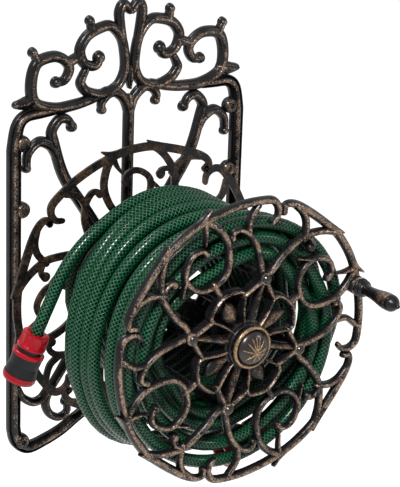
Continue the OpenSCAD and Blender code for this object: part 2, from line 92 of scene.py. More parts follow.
# How much deeper than the first layer the hose starts, and how far in front of its start its exit is
START_DROP_MM = 26.6
DRUM_STEPS_PER_TURN = 32
FIRST_OFF_MM, FIRST_OFF_ANGLE = 8, 230
SECOND_OFF_MM, SECOND_OFF_ANGLE = 10, 100
INNER_R_MM = 89.7
INNER_TURNS = 10
CLIMB_TURNS = 0.4
SECOND_R_MM = 104.7
SECOND_WHOLE_TURNS = 8
DRUM_FRONT_MM = FRONT_BACK_MM - 55.4
DRUM_REAR_MM = REAR_FRONT_MM + 8.4
SAG_MM = 11
SAG_FROM_R_MM = 136
SAG_OVER_MM = 46
OUTER_TURNS = 5.2
OUTER_STEPS_PER_TURN = 64
TIGHT_R_MM = 120.5
SLACK_MM = 50
SLACK_ANGLE = 250
WANDER_MM = 7
TAIL_ANGLE = 100
OUTER_FRONT_MM = FRONT_BACK_MM - 58
OUTER_REAR_MM = REAR_FRONT_MM + 40
NUT_L_MM = 18
NECK_L_MM = 5
SLEEVE_L_MM = 37
CONNECTOR_L_MM = NUT_L_MM + NECK_L_MM + SLEEVE_L_MM
HOSE_SEAT_MM = 6
FLUTES = 10
FLUTE_MM = 1.5

# The photo's camera
CAMERA_AZIMUTH = 35.54
CAMERA_ELEVATION = 21.41
CAMERA_ROLL = 1.92
CAMERA_AIM_M = (0.10152, -0.010, 0.01836)
CAMERA_AWAY_M = 2.7651
SENSOR_MM = 36
FOCAL_PX = 2314
PHOTO_LONG_SIDE_PX = 487

# Stage and lamps
FLOOR_HALF_M = 14
FLOOR_UP_M = -1.1
LAMP_AIM_M = (0, -0.13, 0)


def row(p):
    """A place given as x, up, depth in millimetres, in the frame's metres."""
    return (p[0] * MM, -p[2] * MM, p[1] * MM)


def cos(degrees):
    return math.cos(math.radians(degrees))


def sin(degrees):
    return math.sin(math.radians(degrees))


def polar(radius, angle):
    """The x and up of a point at that radius and angle."""
    return np.array([radius * cos(angle), radius * sin(angle)])


def unit(v):
    """The same direction, one long."""
    v = np.array(v, float)
    return v / np.linalg.norm(v)


def smooth(t):
    """An eased step: 0 up to 0, and 1 from 1 on."""
    t = min(max(t, 0), 1)
    return t * t * (3 - 2 * t)


def curve_through(points, steps):
    """A smooth line through the points, with that many pieces between each two."""
    p = np.array(points, float)
    out = []
    for i in range(len(p) - 1):
        a, b, c, d = p[max(i - 1, 0)], p[i], p[i + 1], p[min(i + 2, len(p) - 1)]
        for k in range(steps):
            t = k / steps
            out.append(b + t / 2 * (c - a) + t * t / 2 * (2 * a - 5 * b + 4 * c - d)
                       + t ** 3 / 2 * (3 * b - a - 3 * c + d))
    return np.array(out + [p[-1]])


def headings(p):
    """The direction of a line at each of its points."""
    h = np.empty_like(p)
    h[1:-1], h[0], h[-1] = p[2:] - p[:-2], p[1] - p[0], p[-1] - p[-2]
    return h / np.linalg.norm(h, axis=1)[:, None]


def add_object(name, data):
    made = bpy.data.objects.new(name, data)
    bpy.context.scene.collection.objects.link(made)
    return made


# Materials

def linear(hex_colour):
    """An sRGB hex colour as linear RGBA."""
    channels = [int(hex_colour[i:i + 2], 16) / 255 for i in (1, 3, 5)]
    return [c / 12.92 if c <= 0.04045 else ((c + 0.055) / 1.055) ** 2.4 for c in channels] + [1]


def node(tree, kind, settings=None, **links):
    """Adds a node, sets its properties, and fills its inputs with values or with other sockets."""
    made = tree.nodes.new(kind)
    for key, value in (settings or {}).items():
        setattr(made, key, value)
    for key, value in links.items():
        name = key.replace("_", " ").strip()
        socket = made.inputs[int(name)] if name.isdigit() else made.inputs[name]
        if isinstance(value, bpy.types.NodeSocket):
            tree.links.new(value, socket)
        else:
            socket.default_value = value
    return made


def maths(tree, operation, *values, clamp=False):
    """One operation on numbers and sockets, in the order given."""
    inputs = {f"_{i}": value for i, value in enumerate(values)}
    settings = {"operation": operation, "use_clamp": clamp}
    return node(tree, "ShaderNodeMath", settings, **inputs).outputs[0]


def blank_tree(holder):
    """The emptied node tree of a material or a world."""
    holder.use_nodes = True
    holder.node_tree.nodes.clear()
    return holder.node_tree


def material(name, **shader):
    """A new material with its shader; returns the material, its tree and the shader node."""
    made = bpy.data.materials.new(name)
    tree = blank_tree(made)
    bsdf = node(tree, "ShaderNodeBsdfPrincipled", **shader)
    node(tree, "ShaderNodeOutputMaterial", Surface=bsdf.outputs["BSDF"])
    return made, tree, bsdf


def blend(tree, amount, low, high):
    """Mixes two colours, given as hex or as sockets."""
    made = node(tree, "ShaderNodeMix", {"data_type": "RGBA"})
    for index, value in ((0, amount), (6, low), (7, high)):
        if isinstance(value, bpy.types.NodeSocket):
            tree.links.new(value, made.inputs[index])
        else:
            made.inputs[index].default_value = linear(value) if isinstance(value, str) else value
    return made.outputs[2]


def ramp(tree, value, low, high, out_low=0.0, out_high=1.0):
    """Takes low to out_low and high to out_high, with an eased course between."""
    return node(tree, "ShaderNodeMapRange", {"interpolation_type": "SMOOTHSTEP"}, Value=value, From_Min=low,
                From_Max=high, To_Min=out_low, To_Max=out_high).outputs[0]


def noise(tree, size_mm, detail=3.0, roughness=0.55):
    """Noise whose lumps are about size_mm across, on the piece's own coordinates in metres."""
    place = node(tree, "ShaderNodeTexCoord").outputs["Object"]
    return node(tree, "ShaderNodeTexNoise", Vector=place, Scale=1 / (size_mm * MM), Detail=detail,
                Roughness=roughness).outputs["Fac"]


def relief(tree, bsdf, height, depth_mm, strength):
    bump = node(tree, "ShaderNodeBump", Strength=strength, Distance=depth_mm * MM, Height=height)
    tree.links.new(bump.outputs[0], bsdf.inputs["Normal"])


def uneven_gloss(tree, bsdf, size_mm, low, high):
    """Roughness that drifts between two values in patches of that size."""
    tree.links.new(ramp(tree, noise(tree, size_mm), 0.3, 0.7, low, high), bsdf.inputs["Roughness"])


def antique_iron(name, cover, crown_from, bronze="#957c66", gloss=0.26):
    """Sand-cast iron under black enamel, with bronze paint rubbed by hand over what stands proud: the
    flanks stay a cold glossy black, and the crowns are warm and speckled. The rubbing catches from
    crown_from of the height upwards, and cover is how much of the crown it takes."""
    made, tree, bsdf = material(name, IOR=1.5, Specular_IOR_Level=0.2)
    patch = noise(tree, 14, detail=2)
    speck = noise(tree, 1.7, detail=3, roughness=0.75)
    drift = maths(tree, "MULTIPLY", maths(tree, "SUBTRACT", patch, 0.5), 0.8)
    catch = maths(tree, "ADD", speck, drift)
    rise = node(tree, "ShaderNodeAttribute", {"attribute_name": "rise"}).outputs["Fac"]
    crown = ramp(tree, rise, crown_from, 1.0)
    reach = maths(tree, "ADD", catch, maths(tree, "MULTIPLY", crown, 0.3))
    taken = ramp(tree, reach, 0.95 - 0.4 * cover, 1.2 - 0.4 * cover)
    rubbed = maths(tree, "MULTIPLY", crown, taken)
    enamel = blend(tree, ramp(tree, patch, 0.35, 0.7), "#0b0a0c", "#151315")
    worn = blend(tree, ramp(tree, speck, 0.3, 0.8), "#4a3729", bronze)
    tree.links.new(blend(tree, rubbed, enamel, worn), bsdf.inputs["Base Color"])
    tree.links.new(maths(tree, "MULTIPLY", rubbed, 0.55), bsdf.inputs["Metallic"])
    uneven_gloss(tree, bsdf, 5, gloss - 0.07, gloss + 0.1)
    grain = maths(tree, "ADD", maths(tree, "MULTIPLY", noise(tree, 1.1), 0.6), noise(tree, 6, detail=1))
    relief(tree, bsdf, grain, depth_mm=0.5, strength=0.4)
    return made


def plain_steel(name, colour, rough):
    """Turned and plated steel, with a faint uneven polish."""
    made, tree, bsdf = material(name, Base_Color=linear(colour), Metallic=0.9)
    uneven_gloss(tree, bsdf, 3, rough - 0.08, rough + 0.08)
    relief(tree, bsdf, noise(tree, 0.8), depth_mm=0.1, strength=0.15)
    return made


def moulded_plastic(name, colour, shade, rough, grain_mm):
    """Injection-moulded plastic: even colour, slight cloudiness and a fine spark-eroded grain."""
    made, tree, bsdf = material(name, IOR=1.49, Specular_IOR_Level=0.2)
    tree.links.new(blend(tree, noise(tree, 9, detail=2), colour, shade), bsdf.inputs["Base Color"])
    uneven_gloss(tree, bsdf, 4, rough - 0.05, rough + 0.07)
    relief(tree, bsdf, noise(tree, grain_mm, detail=2), depth_mm=0.15, strength=0.2)
    return made


def braided_hose(name):
    """Clear PVC skin over crossed green threads on a nearly black core, with the skin's gloss on the
    threads only. The threads follow the hose's own map, which is in metres along it and in turns round
    it. Each way there are BRAID_THREADS of them round the hose, and they repeat every BRAID_MM along it."""
    made, tree, bsdf = material(name, IOR=1.5, Specular_IOR_Level=0.1, Coat_Roughness=0.18)
    run = node(tree, "ShaderNodeUVMap", {"uv_map": "run"}).outputs[0]
    lay = node(tree, "ShaderNodeSeparateXYZ", Vector=run)
    along = maths(tree, "DIVIDE", lay.outputs[0], BRAID_MM * MM)
    around = maths(tree, "MULTIPLY", lay.outputs[1], BRAID_THREADS)
    threads = []
    for way in ("ADD", "SUBTRACT"):
        saw = maths(tree, "FRACT", maths(tree, way, along, around))
        ridge = maths(tree, "SUBTRACT", maths(tree, "MULTIPLY", saw, 2.0), 1.0)
        threads.append(ramp(tree, maths(tree, "ABSOLUTE", ridge), 0.66, 1.0))
    woven = maths(tree, "MAXIMUM", *threads)
    core = blend(tree, noise(tree, 30, detail=1), "#010403", "#010a05")
    tree.links.new(blend(tree, woven, core, "#176641"), bsdf.inputs["Base Color"])
    tree.links.new(maths(tree, "MULTIPLY", woven, 0.6), bsdf.inputs["Coat Weight"])
    tree.links.new(ramp(tree, woven, 0, 1, 0.36, 0.2), bsdf.inputs["Roughness"])
    relief(tree, bsdf, woven, depth_mm=0.5, strength=0.7)
    return made


IRON = antique_iron("antique_black_iron", 0.6, 0.64, "#a68f7c")
IRON_DULL = antique_iron("dull_black_iron", 0.55, -3.0, "#6d5740", gloss=0.42)
IRON_BRIGHT = antique_iron("rubbed_bronze_iron", 0.75, 0.6, "#b99f89")
IRON_SPECKLED = antique_iron("speckled_bronze_iron", 0.6, 0.2)
HUB_BLACK = antique_iron("black_hub_iron", 0.15, 0.8)
DARK_DOME = plain_steel("blackened_dome_steel", "#383534", 0.26)
RIM_BRONZE = antique_iron("burnished_bronze", 1.3, -0.5, "#c3a37e", gloss=0.28)
STEEL = plain_steel("zinc_plated_steel", "#a09c95", 0.35)
DARK_STEEL = plain_steel("blackened_steel", "#3a3836", 0.28)
NYLON = moulded_plastic("natural_nylon", "#d8d2c2", "#cdc6b4", 0.5, 1.5)
RED_PLASTIC = moulded_plastic("red_abs", "#980b18", "#840813", 0.28, 1.0)
DARK_PLASTIC = moulded_plastic("black_acetal", "#0d0e10", "#121316", 0.35, 1.0)
GRIP_RUBBER = moulded_plastic("grey_soft_grip", "#0c0d0f", "#121315", 0.45, 1.2)
SEAL_RUBBER = moulded_plastic("black_nitrile", "#0b0b0b", "#121212", 0.6, 1.0)
HOSE = braided_hose("braided_green_pvc")


# Making pieces

def settle(piece, slot, body, *replaced):
    """Puts a finished piece on its body, in place of the CAD nodes named, with crisp edges where it turns."""
    piece.data.set_sharp_from_angle(angle=math.radians(CRISP_EDGE))
    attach(piece, body)
    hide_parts(*replaced)
    return piece


def new_piece(name, verts, faces, finish=None, edges=(), **values):
    """A smooth mesh in metres; values are numbers for its points, under their names."""
    mesh = bpy.data.meshes.new(name)
    mesh.from_pydata([tuple(map(float, v)) for v in verts], edges, faces)
    if finish:
        mesh.materials.append(finish)
    for key, numbers in values.items():
        layer = mesh.attributes.new(key, "FLOAT", "POINT")
        layer.data.foreach_set("value", np.array(numbers, np.float32))
    mesh.polygons.foreach_set("use_smooth", [True] * len(mesh.polygons))
    return add_object(name, mesh)


def bake_modifiers(piece):
    """Replaces a piece's mesh by what its modifiers make of it."""
    bpy.context.view_layer.update()
    mesh = bpy.data.meshes.new_from_object(piece.evaluated_get(bpy.context.evaluated_depsgraph_get()))
    piece.modifiers.clear()
    old, piece.data = piece.data, mesh
    bpy.data.meshes.remove(old)
    mesh.name = piece.name


def face_outwards(mesh):
    """Turns the faces of closed shells outwards."""
    shell = bmesh.new()
    shell.from_mesh(mesh)
    bmesh.ops.recalc_face_normals(shell, faces=shell.faces)
    shell.to_mesh(mesh)
    shell.free()


def stand(piece, depth_mm, matrix=Matrix()):
    """Stands a piece upright that was drawn on its back, with its underside that far from the wall."""
    upright = Matrix.Rotation(math.pi / 2, 4, "X")
    piece.data.transform(upright @ Matrix.Translation((0, 0, depth_mm * MM)) @ matrix)
    return piece


# Geometry Nodes: the pattern maker's strands

KNOB_SIDES = 16
KNOB_RINGS = 8
# A knob stands this much higher than its strand
KNOB_RISE = 1.04


def strand_tree():
    """Casts a strand of scrollwork along each line of a drawing: the section is swept along it as wide and
    as tall as the points say, a knob closes each point that has one, and the whole is repeated round the
    axle. Each point keeps its rise, from 0 at the back to 1 on the crown."""
    tree = bpy.data.node_groups.new("cast_strands", "GeometryNodeTree")
    for name, kind, value in (("Drawing", "Geometry", None), ("Section", "Object", None),
                              ("Copies", "Int", 1), ("Knob Sides", "Int", KNOB_SIDES),
                              ("Finish", "Material", None)):
        socket = tree.interface.new_socket(name, in_out="INPUT", socket_type=f"NodeSocket{kind}")
        if value:
            socket.default_value = value
    tree.interface.new_socket("Casting", in_out="OUTPUT", socket_type="NodeSocketGeometry")
    given = node(tree, "NodeGroupInput").outputs

    def named(name):
        made = node(tree, "GeometryNodeInputNamedAttribute", {"data_type": "FLOAT"}, Name=name)
        return made.outputs["Attribute"]

    def coordinates():
        place = node(tree, "GeometryNodeInputPosition").outputs[0]
        return node(tree, "ShaderNodeSeparateXYZ", Vector=place).outputs

    def store(geometry, name, value):
        return node(tree, "GeometryNodeStoreNamedAttribute", {"data_type": "FLOAT", "domain": "POINT"},
                    Geometry=geometry, Name=name, Value=value).outputs[0]

    def lifted(geometry, z):
        at = coordinates()
        place = node(tree, "ShaderNodeCombineXYZ", X=at[0], Y=at[1], Z=z).outputs[0]
        return node(tree, "GeometryNodeSetPosition", Geometry=geometry, Position=place).outputs[0]

    # Strands
    lines = node(tree, "GeometryNodeMeshToCurve", Mesh=given["Drawing"]).outputs[0]
    lines = node(tree, "GeometryNodeSetCurveNormal", {"mode": "Z_UP"}, Curve=lines).outputs[0]
    drawn = node(tree, "GeometryNodeObjectInfo", Object=given["Section"]).outputs["Geometry"]
    outline = node(tree, "GeometryNodeMeshToCurve", Mesh=drawn).outputs[0]
    swept = node(tree, "GeometryNodeCurveToMesh", Curve=lines, Profile_Curve=outline,
                 Scale=named("half_width"), Fill_Caps=True).outputs[0]
    crown = maths(tree, "ABSOLUTE", coordinates()[2])
    swept = store(swept, "rise", maths(tree, "DIVIDE", crown, named("half_width"), clamp=True))
    body = maths(tree, "MULTIPLY", named("rise"), maths(tree, "SUBTRACT", named("tall"), named("base")))
    swept = lifted(swept, maths(tree, "ADD", body, named("base")))

    # Knobs, as flattened balls cut off level at the back
    ball = node(tree, "GeometryNodeMeshUVSphere", Segments=given["Knob Sides"], Rings=KNOB_RINGS,
                Radius=1.0).outputs[0]
    ball = lifted(ball, maths(tree, "MAXIMUM", coordinates()[2], 0.0))
    ball = store(ball, "rise", coordinates()[2])
    has_knob = maths(tree, "GREATER_THAN", named("knob"), 0.0)
    size = node(tree, "ShaderNodeCombineXYZ", X=named("knob"), Y=named("knob"),
                Z=maths(tree, "MULTIPLY", named("tall"), KNOB_RISE)).outputs[0]
    knobs = node(tree, "GeometryNodeInstanceOnPoints", Points=given["Drawing"], Selection=has_knob,
                 Instance=ball, Scale=size).outputs[0]
    knobs = node(tree, "GeometryNodeRealizeInstances", Geometry=knobs).outputs[0]

    # Copies round the axle
    both = node(tree, "GeometryNodeJoinGeometry").inputs[0]
    for part in (knobs, swept):
        tree.links.new(part, both)
    places = node(tree, "GeometryNodeMeshLine", Count=given["Copies"], Offset=(0, 0, 0)).outputs[0]
    share = maths(tree, "DIVIDE", node(tree, "GeometryNodeInputIndex").outputs[0], given["Copies"])
    turn = node(tree, "ShaderNodeCombineXYZ", Z=maths(tree, "MULTIPLY", share, 2 * math.pi)).outputs[0]
    ring = node(tree, "GeometryNodeInstanceOnPoints", Points=places, Instance=both.node.outputs[0],
                Rotation=turn).outputs[0]
    whole = node(tree, "GeometryNodeRealizeInstances", Geometry=ring).outputs[0]
    done = node(tree, "GeometryNodeSetMaterial", Geometry=whole, Material=given["Finish"]).outputs[0]
    node(tree, "NodeGroupOutput", Casting=done)
    return tree


def section(name, half):
    """A strand's section as a closed line, from its half outline: share of the half width, and share of
    the height."""
    points = half + [(-s, t) for s, t in reversed(half) if s > 0]
    return new_piece(name, [(s, t, 0) for s, t in points], [],
                     edges=[(i, (i + 1) % len(points)) for i in range(len(points))])


ROUND = section("round_section", [
    (0.5, 0), (0.95, 0), (1, 0.06), (1, 0.3), (0.94, 0.52), (0.8, 0.7), (0.6, 0.83), (0.38, 0.9), (0.2, 0.97),
    (0, 1)])
CORDED = section("corded_section", [
    (0.5, 0), (0.95, 0), (1, 0.06), (1, 0.32), (0.93, 0.52), (0.8, 0.66), (0.62, 0.76), (0.42, 0.8),
    (0.27, 0.82), (0.21, 0.95), (0.1, 1)])
DRAFTED = section("drafted_section", [
    (0.5, 0), (1.06, 0), (1.1, 0.06), (1.04, 0.28), (0.94, 0.5), (0.8, 0.68), (0.6, 0.82), (0.38, 0.9),
    (0.2, 0.97), (0, 1)])
BEADED = section("beaded_section", [
    (0.5, 0), (0.86, 0), (0.98, 0.06), (1, 0.4), (0.95, 0.66), (0.84, 0.72), (0.74, 0.62), (0.66, 0.44),
    (0.56, 0.5), (0.42, 0.8), (0.22, 0.97), (0, 1)])
RIDGED = section("ridged_section", [
    (0.5, 0), (0.86, 0), (0.98, 0.08), (1, 0.34), (0.9, 0.55), (0.5, 0.76), (0.16, 0.96), (0, 1)])
CASTING = strand_tree()

# The end of a strand is rounded off at these angles, with the cosine as its width and the sine as its reach
NOSES = [(cos(angle), sin(angle)) for angle in (35, 62, 82)]
# The backs of the strands lie a hair apart, in so many steps, so that no two share a face
BACK_STEP_MM = 0.02
BACK_STEPS = 23


class Drawing:
    """The lines of a casting in millimetres, drawn on its back. Each has widths, a height and a knob."""

    def __init__(self):
        self.verts, self.edges = [], []
        self.values = {"half_width": [], "tall": [], "knob": [], "base": []}
        self.lines = 0

    def line(self, points, widths, tall, knob=0.0, steps=6):
        """widths are the widths along the line, evenly spread: two for a plain taper, or more. The line is
        lower where it is narrower, and at its noses. A knob sits on its last point."""
        way = curve_through(points, steps)
        width = np.interp(np.linspace(0, 1, len(way)), np.linspace(0, 1, len(widths)), widths)
        ahead = headings(way)
        way = np.concatenate([[way[0] - ahead[0] * width[0] / 2 * reach for _, reach in reversed(NOSES)], way,
                              [way[-1] + ahead[-1] * width[-1] / 2 * reach for _, reach in NOSES]])
        nose = np.array([c for c, _ in reversed(NOSES)] + [1] * len(width) + [c for c, _ in NOSES])
        width = np.concatenate([[width[0]] * len(NOSES), width, [width[-1]] * len(NOSES)]) * nose
        height = tall * (0.75 + 0.25 * width / max(widths)) * (0.55 + 0.45 * nose)
        start = len(self.verts)
        self.verts += [(x * MM, y * MM, 0) for x, y in way]
        self.edges += [(start + i, start + i + 1) for i in range(len(way) - 1)]
        self.values["half_width"] += list(width / 2 * MM)
        self.values["tall"] += list(height * MM)
        self.values["knob"] += [0.0] * (len(way) - len(NOSES) - 1) + [knob * MM] + [0.0] * len(NOSES)
        self.values["base"] += [self.lines % BACK_STEPS * BACK_STEP_MM * MM] * len(way)
        self.lines += 1

    def cast(self, name, shape, finish, copies=1):
        """The casting of the drawing, with its strands in that section."""
        piece = new_piece(name, self.verts, [], edges=self.edges, **self.values)
        grown = piece.modifiers.new("cast_strands", "NODES")
        grown.node_group = CASTING
        keys = {item.name: item.identifier for item in CASTING.interface.items_tree if item.in_out == "INPUT"}
        given = {"Section": shape, "Copies": copies, "Knob Sides": KNOB_SIDES, "Finish": finish}
        for key, value in given.items():
            grown[keys[key]] = value
        bake_modifiers(piece)
        piece.data.polygons.foreach_set("use_smooth", [True] * len(piece.data.polygons))
        face_outwards(piece.data)
        return piece


def lathe(name, outline, sides, finish, centre=(0, 0), flute=None):
    """A turned shape drawn on its back. outline lists radius and depth in mm: it runs from pole to pole,
    or round a bored ring. flute gives what is added to a radius at an angle."""
    poles = [r <= POLE_R_MM for r, _ in outline]
    verts, faces, first = [], [], []
    for (r, d), pole in zip(outline, poles):
        first.append(len(verts))
        for k in range(1 if pole else sides):
            angle = 360 * k / sides
            place = polar(r + (flute(angle, r, d) if flute and not pole else 0), angle) + np.array(centre)
            verts.append((place[0] * MM, place[1] * MM, d * MM))

    def corner(i, k):
        return first[i] + (0 if poles[i] else k % sides)

    count = len(outline)
    for i in range(count - 1 if poles[0] else count):
        after = (i + 1) % count
        for k in range(sides):
            quad = [corner(i, k), corner(i, k + 1), corner(after, k + 1), corner(after, k)]
            face = [v for j, v in enumerate(quad) if v not in quad[:j]]
            if len(face) > 2:
                faces.append(face)
    low, high = min(d for _, d in outline), max(d for _, d in outline)
    piece = new_piece(name, verts, faces, finish, rise=[(v[2] / MM - low) / (high - low) for v in verts])
    face_outwards(piece.data)
    return piece


def joined(name, pieces):
    """One mesh of several that lie on one body."""
    whole = bmesh.new()
    finishes = []
    for piece in pieces:
        finish = piece.data.materials[0]
        if finish not in finishes:
            finishes.append(finish)
        start = len(whole.faces)
        whole.from_mesh(piece.data)
        whole.faces.ensure_lookup_table()
        for face in whole.faces[start:]:
            face.material_index = finishes.index(finish)
        bpy.data.objects.remove(piece)
    mesh = bpy.data.meshes.new(name)
    whole.to_mesh(mesh)
    whole.free()
    for finish in finishes:
        mesh.materials.append(finish)
    return add_object(name, mesh)


# Wall plate, drawn on a grid: percent of the way from the axle to the side rail, and percent of the
# height of the top rail, which passes 100 in the crest and is below 0 under the axle

def plate_place(g):
    x, up = g
    if up > 100:
        height = PLATE_UP_MM + (up - 100) / 100 * CREST_MM
    else:
        height = up / 100 * (PLATE_DOWN_MM if up < 0 else PLATE_UP_MM)
    return x / 100 * PLATE_HALF_MM, height


# Each strand: its way on the grid, its widths and the radius of the knob that ends it
PLATE_RAILS = [
    ([[100, 84], [100, 40], [100, 0], [100, -45], [100, -85]], [RAIL_W_MM, RAIL_W_MM], 0),
    ([[100, 84], [97, 96], [90, 102], [77, 103], [66, 103.5]], [RAIL_W_MM, SCROLL_W_MM], 0),
    ([[100, -85], [97, -94], [87, -100], [72, -98], [57, -94], [43, -88], [26, -82], [0, -78]],
     [RAIL_W_MM, SCROLL_W_MM], 0),
]
PLATE_SCROLLS = [
    ([[0, 92], [4, 101], [12, 110], [19, 109], [24.5, 101.5], [24, 97]], [SCROLL_W_MM, 13, 11, 9], 6),
    ([[11, 12], [20, 22.5], [40, 45], [57, 64], [66, 84], [67.5, 90.5], [61, 96], [54, 95], [50, 90.5]],
     [STEM_W_MM, 15, 14, 13, 12, 9], 7),
    ([[64, 77], [69, 82.5], [79, 85.5], [88, 80], [89, 72]], [12, 13, 11, 9], 6),
    ([[13, -10.5], [20, -16], [40, -35], [58, -55], [70.5, -70], [69, -80], [60, -85.5], [52, -83],
      [52.5, -76]], [STEM_W_MM, 8], 7),
    ([[70, -66], [75, -70], [83, -71], [92, -66], [96, -60]], [SCROLL_W_MM, 9], 0),
    ([[20, 113], [33, 107.5], [49, 104.5], [66, 104.5], [82, 113], [85.5, 131], [81, 151], [67, 155.5],
      [57, 150], [53, 141], [57, 131], [64, 129.5]], [10, 13, 14, 14, 13, 12, 10], 7),
    ([[39, 137], [42, 130], [43, 124], [37, 115], [24, 110], [11, 116], [5, 129], [4.6, 144], [8, 163],
      [17, 176], [27, 176], [38, 170], [44, 158], [41, 145], [34, 140], [29, 141], [27, 147]],
     [9, 12, 13, 12, 12, 13, 13, 12, 10], 8),
    ([[3.4, 130], [4.8, 146], [7, 162], [9.4, 178], [10, 189], [6.3, 196], [1, 189]], [9, 10, 12, 13, 10], 0),
    ([[33.5, 174], [34.5, 179], [35.5, 184.5]], [9, 11, 8], 6),
    ([[80.5, 153], [82, 158], [84, 162.5]], [9, 10, 8], 6),
    ([[84, 117], [91, 114.5], [98, 114]], [14, 15, 9], 4.5),
    ([[44, 152], [48, 150], [54, 147]], [SCROLL_W_MM, SCROLL_W_MM], 0),
]
PLATE_MIDDLE = [
    ([[0, 13], [0, 50], [0, 100]], [STEM_W_MM, STEM_W_MM], 0),
    ([[0, 131], [0, 124], [0, 112.5]], [8, 11, 4], 0),
]
# Outlines of what is turned on the plate, and of the bit that drills it: radius, and distance from the wall
LUG = [(3, 0), (3, PLATE_FACE_MM), (6.2, PLATE_FACE_MM), (7.6, 9.2), (8.2, 8), (9.2, 7), (9.5, 5), (9.5, 0)]
PLATE_BOSS = [(6.05, 8), (6.05, 11), (22.4, 11), (23.6, 10.4), (24, 9.4), (29.5, 9), (31, 8.2), (31.8, 6),
              (32, 0), (15, 0), (15, 8)]
SCREW_BIT = [(0, 14), (3.02, 14), (3.02, -4), (0, -4)]


def make_plate():
    """The wall plate, as its beaded rails, its corded scrolls, and the turned lugs and boss on them."""
    rails, scrolls = Drawing(), Drawing()
    for side in (1, -1):
        for drawing, strands in ((rails, PLATE_RAILS), (scrolls, PLATE_SCROLLS)):
            for way, widths, knob in strands:
                points = [(side * x, up) for x, up in map(plate_place, way)]
                drawing.line(points, widths, PLATE_FACE_MM, knob)
    for way, widths, knob in PLATE_MIDDLE:
        scrolls.line([plate_place(g) for g in way], widths, PLATE_FACE_MM, knob)
    turned = [lathe("lug", LUG, 32, IRON, screw) for screw in SCREWS_MM]
    turned.append(lathe("boss", PLATE_BOSS, 64, IRON))
    rail_piece = rails.cast("plate_rails", BEADED, IRON)
    drill(rail_piece)
    scroll_piece = scrolls.cast("plate_scrolls", CORDED, IRON)
    for piece in (rail_piece, scroll_piece, joined("plate_lugs_and_boss", turned)):
        settle(stand(piece, 0), "antique_iron", "frame", "wall_plate")


def drill(piece):
    """Drills the rails where the screw holes just touch them."""
    bits = joined("drill", [lathe("bit", SCREW_BIT, 32, IRON, screw) for screw in SCREWS_MM])
    cut = piece.modifiers.new("holes", "BOOLEAN")
    cut.operation, cut.object, cut.solver = "DIFFERENCE", bits, "FAST"
    bake_modifiers(piece)
    piece.data.materials.clear()
    piece.data.materials.append(IRON)
    bpy.data.objects.remove(bits)


# Wheels: a quarter of the scrollwork in degrees from one star tip to the next and in percent, where 0
# is the hub, 100 the circle of the bar screws and 200 the middle of the rim

def wheel_place(g):
    turn, out = g
    if out <= 100:
        return polar(HUB_R_MM + out / 100 * (BAR_CIRCLE_MM - HUB_R_MM), turn)
    return polar(BAR_CIRCLE_MM + (out - 100) / 100 * (RIM_R_MM - BAR_CIRCLE_MM), turn)


WHEEL_SCROLLS = [
    ([[88.5, 190], [89, 197], [86.5, 201.5], [82, 202], [75, 200], [67, 199.5], [58, 201.5], [50, 202],
      [42, 202], [34, 201], [27, 201], [18, 202], [9, 203], [4.5, 202], [1.8, 194], [1.2, 183], [3, 174]],
     [7, 8, 9.5, 9.5, 9.5, 9, 9, 9, 8, 6], 0),
    ([[44, 202], [38, 204.5], [34, 213]], [9, 7, 3], 0),
    ([[65, 200], [59, 203], [55, 209]], [9, 8, 3], 0),
    ([[71, 166], [74, 184], [78, 195], [83, 201]], [8, 8], 0),
    ([[88.6, 194], [88.5, 189]], [7, 7], 4.5),
    ([[0, 100], [6, 123], [11, 145], [17, 162], [22, 169], [25, 167], [26, 161]], [9, 6], 5),
    ([[16, 160], [16, 180], [12, 198]], [7, 7], 0),
    ([[90, 100], [83, 111], [80, 129], [76, 149], [72, 168], [66, 184], [61, 195], [56, 204]], [9, 8], 0),
    ([[71, 170], [67, 170.5], [64, 167], [64, 162]], [6, 5], 6),
    ([[37, 200], [33, 185], [29.5, 165], [29, 141], [32, 121], [41, 111], [54, 117], [59, 135], [58, 154],
      [53, 166], [48, 171], [43.5, 167], [42, 158]], [9, 6.5], 5),
    ([[38, 196], [39, 184], [41, 172]], [7, 2.5], 0),
    ([[58, 152], [63, 145], [67, 140]], [6, 2.5], 0),
    ([[45, 86], [46, 98], [46, 112]], [8, 9], 0),
]
WHEEL_STAR = [
    ([[0, 100], [21, 62]], [8, 7], 0),
    ([[90, 100], [69, 62]], [8, 7], 0),
    ([[21, 62], [26, 76], [45, 86], [64, 76], [69, 62]], [6.5, 6.5], 0),
    ([[27, -20], [25, 20], [21, 62]], [5, 4.2], 0),
    ([[63, -20], [65, 20], [69, 62]], [5, 4.2], 0),
]
WHEEL_SPOKE = ([[0, -20], [0, 40], [0, 100]], [14, 10, 6])
WHEEL_PETAL = ([[45, -20], [45, 14], [45, 36], [45, 61]], [8, 12, 18, 21, 17, 5])
PETAL_FACE_MM = 9
# Outlines of what is turned on the wheel: radius, and distance from its flat back
WHEEL_HUB = [(9.02, 0), (9.02, HUB_FACE_MM), (24.5, HUB_FACE_MM), (26, 12.6), (26.2, 9), (28.2, 7.6),
             (28.6, 0)]
STAR_TIP = [(2.75, 0), (2.75, STAR_FACE_MM), (6, STAR_FACE_MM), (7.1, 11), (7.5, 3), (7.5, 0)]
CRANK_BOSS = [(4.05, 0), (4.05, HUB_FACE_MM), (10, HUB_FACE_MM), (11, 13.2), (10.6, 12), (9.9, 11),
              (10.7, 9.8), (11, 8.4), (10.6, 6), (11, 0)]


